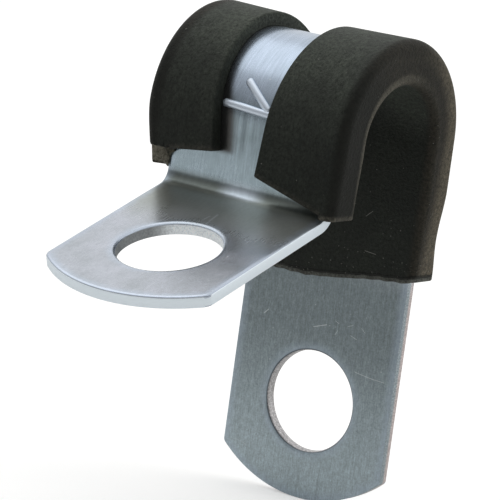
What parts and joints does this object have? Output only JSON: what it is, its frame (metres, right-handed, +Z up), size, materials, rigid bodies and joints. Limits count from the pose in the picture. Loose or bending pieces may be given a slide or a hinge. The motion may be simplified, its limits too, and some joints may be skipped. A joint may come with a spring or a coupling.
{
  "type": "rubber-lined p clip",
  "caption": "P clip that holds a cable in a rubber-lined steel loop, with a straight fixing leg and a sloping fixing tab, each with a screw hole.",
  "frame": {"origin": "middle of the cable, on the loop's axis and half-way across the steel band", "axes": "+X along the cable, -Y towards the sloping tab, +Z up, away from both screw holes"},
  "size_m": [0.0156, 0.0266, 0.0323],
  "materials": {
    "zinc_plated_steel": "bright zinc plate",
    "black_rubber": "satin"
  },
  "bodies": {
    "root": {"steel_band": "zinc_plated_steel", "rubber_liner": "black_rubber"}
  },
  "joints": []
}
